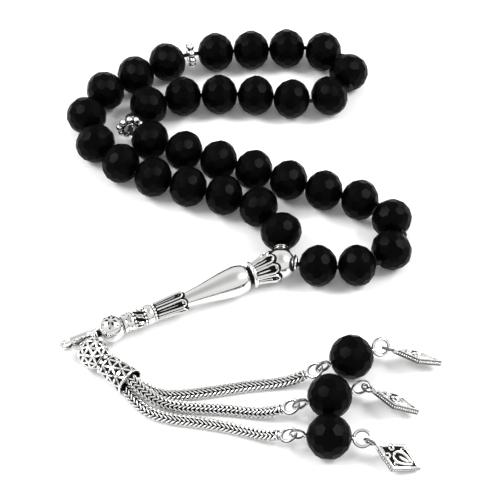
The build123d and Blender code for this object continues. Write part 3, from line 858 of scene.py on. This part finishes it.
def make_filigree_sleeve():
    """A flaring sleeve of the same strokes, with a beaded ring at its top and a rolled rim."""
    def radius_at(height):
        return 2.62 + 0.85 * ((height - SLEEVE_TOP) / (SLEEVE_MOUTH - SLEEVE_TOP)) ** 1.15

    def on_sleeve(point):
        height = SLEEVE_TOP + 0.35 + point[1] * (SLEEVE_MOUTH - 0.55 - SLEEVE_TOP)
        turn = 360.0 * point[0] / SLEEVE_COLUMNS
        return around(radius_at(max(height, SLEEVE_TOP)), turn, height), outward(turn)

    shape = Shape()
    heights = np.linspace(SLEEVE_TOP, SLEEVE_MOUTH - 0.2, 10)
    # Painted shade: a dark liner seen through the openings, for the shaded inside of the sleeve.
    shape.lathe([(radius_at(z) - 0.2, z) for z in heights], mark=DARK)
    row_step = 1 / (SLEEVE_ROWS - 1)
    for row in range(SLEEVE_ROWS):
        steps = [(1.0, 0.0)]
        if row < SLEEVE_ROWS - 1:
            steps += [(-0.5, row_step), (0.5, row_step)]
        for column in range(SLEEVE_COLUMNS):
            here = np.array([column + 0.5 * (row % 2), row / (SLEEVE_ROWS - 1)])
            for step in steps:
                leaf(shape, here, here + np.array(step), on_sleeve, 0.28, FILIGREE_HEIGHT)
            spot, up = on_sleeve(here)
            shape.ball(spot, 0.27, rings=8, sides=10)
    rim = level_ring(SLEEVE_MOUTH - 0.22, radius_at(SLEEVE_MOUTH) + 0.06, 64)
    shape.tube(rim, 0.22, 0.26, up=UP, closed=True, sides=12)
    shape.lathe([(1.2, 4.0), (2.3, 4.1), (2.45, 4.6), (2.5, 5.0)], mark=DARK)
    for i in range(COLLAR_BALLS):
        shape.ball(around(2.5, 360.0 / COLLAR_BALLS * i, 4.4), 0.52, rings=10, sides=14)
    shape.build("filigree_bell", "tassel_head", "filigree_sleeve", TASSEL)


make_filigree_ball()
make_filigree_sleeve()


# --- rings, eye pins and charms -------------------------------------------------------------------
LINK_WIRE = 0.4
# Shares of the wire kept bright; its flanks beyond them get painted shade as a dark outline.
WIRE_PAINTED_SHADE_FROM = (0.6, 0.6)
INNER_LOOP_RADIUS = 1.6
OUTER_LOOP_RADIUS = 2.0
END_RING_RADIUS = 1.85
END_RING_SPACING = 2.3
BAIL_RADIUS = 1.2
BAIL_SPACING = 1.9
WASHER_AT = 5.36


def make_end_ring(leg):
    """A ribbed cap on the chain's end, and its ring."""
    axis = leg_axis(leg)
    hook = joint_point(f"pin_{leg}_lift")
    across = unit(np.cross(axis, UP))
    up = np.cross(across, axis)
    shape = Shape()
    centre = hook - axis * END_RING_SPACING
    shape.tube(ring_points(centre, axis, across, END_RING_RADIUS, 40), LINK_WIRE, up=up, sides=12,
               closed=True, painted_shade_from=WIRE_PAINTED_SHADE_FROM)
    profile = [(-5.3, 0.9), (-5.24, 1.15), (-5.0, 1.22), (-4.8, 1.05), (-4.6, 1.1), (-4.4, 0.8),
               (-4.1, 0.55)]
    path = [hook + axis * place for place, radius in profile]
    shape.tube(path, np.array([radius for place, radius in profile]), sides=24)
    groove = ring_points(hook - axis * 4.8, up, across, 1.07, 32)
    shape.tube(groove, 0.12, mark=DARK, closed=True, up=axis, sides=6)
    shape.build(f"capped_ring_{leg}", f"leg_{leg}", f"end_ring_{leg}", materials=WIREWORK)


def make_eye_pin(leg):
    """A wire through the bead, its ends turned into loops that close beside the wire."""
    along = joint_axis(f"tassel_bead_{leg}_spin")
    middle = joint_point(f"tassel_bead_{leg}_spin")
    shape = Shape()
    for name, sign, radius in ((f"pin_{leg}_lift", -1, INNER_LOOP_RADIUS),
                               (f"charm_{leg}_swing", 1, OUTER_LOOP_RADIUS)):
        spot = joint_point(name)
        normal = joint_axis(name)
        toward = -along * sign
        side = np.cross(normal, toward)
        turns = np.linspace(0, 2 * math.pi * 0.97, 40)[:, None]
        loop = spot + radius * (np.cos(turns) * toward + np.sin(turns) * side)
        loop = loop + normal * np.linspace(0, 0.05, 40)[:, None]
        wire = np.concatenate([[middle], [middle + (loop[0] - middle) * 0.9], loop])
        shape.tube(evenly(wire, 0.24)[0], LINK_WIRE, up=normal, sides=12, painted_shade_from=WIRE_PAINTED_SHADE_FROM)
    for sign in (-1, 1):
        washer = middle + along * sign * WASHER_AT
        shape.tube([washer - along * 0.12, washer, washer + along * 0.12], np.array([0.55, 0.72, 0.5]),
                   sides=18)
    shape.build(f"wire_pin_{leg}", f"pin_{leg}", f"eye_pin_{leg}", materials=WIREWORK)


CHARM_LENGTH = 12.4
CHARM_WIDTH = 8.2
CHARM_THICKNESS = 1.5
CHARM_START = 1.1
CHARM_HEADINGS = {1: -11.0, 2: -24.0, 3: -23.0}
CHARM_SLOPES = {1: 11.0, 2: 11.4, 3: 17.8}
CHARM_ROLLS = {1: 39.5, 2: 37.5, 3: 0.0}
# The outer edge wall (the fifth mark) gets painted shade, a dark outline round the charm.
CHARM_RIM_MARKS = (DARK, DARK, POLISHED, POLISHED, TARNISH_AND_SHADE_MARK, POLISHED, POLISHED, DARK, DARK)


def kite_edge(inset):
    """The charm's kite outline, drawn in by the inset, as points round its middle."""
    tips = [(-CHARM_LENGTH / 2, 0), (0.2, CHARM_WIDTH / 2), (CHARM_LENGTH / 2, 0), (0.2, -CHARM_WIDTH / 2)]
    points = []
    for here, after in zip(tips, tips[1:] + tips[:1]):
        here = np.array(here)
        after = np.array(after)
        for t in np.linspace(0, 1, 12, endpoint=False):
            points.append(here * (1 - t) + after * t)
    points = np.array(points)
    return points * (1 - inset / (CHARM_WIDTH / 2) * np.array([0.8, 1.1]))


def scroll(centre, radius, start, turns, side):
    """A spiral in the charm's plane, mirrored for the other side."""
    points = []
    for t in np.linspace(0, 1, 22):
        turn = math.radians(start) + 2 * math.pi * turns * t
        reach = radius * (1 - 0.72 * t)
        points.append((centre[0] + reach * math.cos(turn), side * (centre[1] + reach * math.sin(turn))))
    return points


def make_charm(leg):
    """A kite-shaped charm with a beaded edge and a heart between scrolls on each face."""
    turn = math.radians(CHARM_HEADINGS[leg])
    slope = math.radians(-CHARM_SLOPES[leg])
    along = np.array([math.cos(turn) * math.cos(slope), math.sin(turn) * math.cos(slope), math.sin(slope)])
    level = unit(np.cross(UP, along))
    roll = math.radians(CHARM_ROLLS[leg])
    normal = np.cross(along, level) * math.cos(roll) + level * math.sin(roll)
    pin_normal = joint_axis(f"charm_{leg}_swing")
    hook = joint_point(f"charm_{leg}_swing")
    hang = unit(along - pin_normal * np.dot(along, pin_normal))
    centre = hook + hang * BAIL_SPACING
    middle = centre + along * (CHARM_START + CHARM_LENGTH / 2)
    plate = frame_along(middle, normal, along)
    half = CHARM_THICKNESS / 2
    shape = Shape()
    rings = []
    for inset, height in ((1.5, 0.0), (1.02, 0.0), (0.92, 0.24), (0.34, 0.27), (0.12, 0.12)):
        rings.append((kite_edge(inset), half - 0.27 + height))
    body = []
    sheets = rings + [(edge, -height) for edge, height in reversed(rings)]
    for edge, height in sheets:
        body += [(x, y, height) for x, y in edge]
    count = len(kite_edge(0.0))
    faces = grid_faces(len(sheets), count)
    shape.add(body, faces)
    shape.marks = [CHARM_RIM_MARKS[i // count] for i in range(len(faces))]
    shape.add([body[i] for i in range(count)], [tuple(range(count))], DARK)
    shape.add([body[i] for i in range(len(body) - count, len(body))], [tuple(range(count))], DARK)
    edge = kite_edge(0.25)
    beads = np.concatenate([[(*p, 0.0) for p in edge], [(*edge[0], 0.0)]])
    for spot in evenly(beads, 0.62)[0][:-1]:
        shape.ball(spot, 0.27, rings=8, sides=10)
    for face in (1, -1):
        level_at = face * (half - 0.2)

        def stroke(points, width, height=0.3):
            path = [(x, y, level_at) for x, y in points]
            shape.tube(path, width * swell(len(path), 6.0), height, up=UP, sides=8)

        for side in (1, -1):
            stroke(scroll((-2.3, 1.05), radius=0.95, start=200, turns=-1.1, side=side), 0.3)
            stroke(scroll((0.35, 2.05), radius=0.62, start=20, turns=1.0, side=side), 0.2)
            heart = []
            for t in np.linspace(0, 1, 14):
                bulge = 1.5 * math.sin(math.pi * t ** 0.75) * (1 - 0.35 * t)
                heart.append((-1.2 + 5.2 * t, side * (0.15 + bulge)))
            stroke(heart, 0.4)
            stroke([(-4.6 + 0.35 * t, side * 0.22 * t) for t in range(6)], 0.22)
        stroke([(0.2 + 0.45 * t, 0.0) for t in range(7)], 0.42, 0.26)
        shape.ball(np.array([-1.0, 0.0, level_at]), 0.45, rings=8, sides=12)
    transform = np.array(plate.to_3x3())
    shape.points = [points @ transform.T + np.array(plate.translation) for points in shape.points]
    shape.tube(ring_points(centre, hang, pin_normal, BAIL_RADIUS, 40), LINK_WIRE,
               up=np.cross(hang, pin_normal), sides=12, closed=True, painted_shade_from=WIRE_PAINTED_SHADE_FROM)
    neck = centre + along * BAIL_RADIUS
    shape.tube([neck, neck + along * 0.5, neck + along * 1.1], np.array([0.45, 0.6, 0.75]), 0.5, up=normal,
               sides=12)
    shape.build(f"kite_charm_{leg}", f"charm_{leg}", f"charm_{leg}")


for leg in LEGS:
    make_end_ring(leg)
    make_eye_pin(leg)
    make_charm(leg)


# --- finish of the CAD nodes that stay ------------------------------------------------------------
for node, material in (("string", THREAD), ("tassel_core", SILVER)):
    data = frame["nodes"][node].data
    data.materials.clear()
    data.materials.append(material)


# --- stage ----------------------------------------------------------------------------------------
FLOOR_HALF_SIDE = 3.0
SOFTBOX_SIZE = 0.42
SOFTBOX_POWER = 7.0
SOFTBOX_SPOTS = {"softbox_left": (-0.62, 0.03, 0.72), "softbox_right": (0.62, 0.03, 0.72)}
ROOM_GREYS = ((0.0, 0.03), (1.0, 0.55), (0.07, 0.08), (0.16, 0.95), (0.75, 0.95))


def make_floor():
    """A plain pale floor under the set."""
    reach = FLOOR_HALF_SIDE
    corners = [(-reach, -reach, 0), (reach, -reach, 0), (reach, reach, 0), (-reach, reach, 0)]
    mesh = bpy.data.meshes.new("floor")
    mesh.from_pydata(corners, [], [(0, 1, 2, 3)])
    mesh.materials.append(principled("paper", (0.9, 0.9, 0.9), 0.0, 0.9, 0.1)[0])
    floor = bpy.data.objects.new("floor", mesh)
    bpy.context.scene.collection.objects.link(floor)


def make_softbox(name, spot):
    """A square area light that faces the set."""
    data = bpy.data.lights.new(name, "AREA")
    data.shape = "SQUARE"
    data.size = SOFTBOX_SIZE
    data.energy = SOFTBOX_POWER
    lamp = bpy.data.objects.new(name, data)
    lamp.location = spot
    lamp.rotation_mode = "QUATERNION"
    lamp.rotation_quaternion = (-Vector(spot)).to_track_quat("-Z", "Y")
    bpy.context.scene.collection.objects.link(lamp)


def make_room():
    """Soft light from all round: dark at the horizon, bright above it, greyer overhead."""
    world = bpy.data.worlds.new("room")
    bpy.context.scene.world = world
    world.use_nodes = True
    nodes = world.node_tree.nodes
    links = world.node_tree.links
    direction = nodes.new("ShaderNodeTexCoord")
    split = nodes.new("ShaderNodeSeparateXYZ")
    ramp = nodes.new("ShaderNodeValToRGB")
    stops = ramp.color_ramp.elements
    for i, (height, grey) in enumerate(ROOM_GREYS):
        stop = stops[i] if i < 2 else stops.new(height)
        stop.position = height
        stop.color = (grey, grey, grey, 1)
    links.new(direction.outputs["Generated"], split.inputs["Vector"])
    links.new(split.outputs["Z"], ramp.inputs["Fac"])
    links.new(ramp.outputs["Color"], nodes["Background"].inputs["Color"])
    nodes["Background"].inputs["Strength"].default_value = 1.0


make_floor()
for name, spot in SOFTBOX_SPOTS.items():
    make_softbox(name, spot)
make_room()
bpy.context.scene.view_settings.view_transform = "Standard"
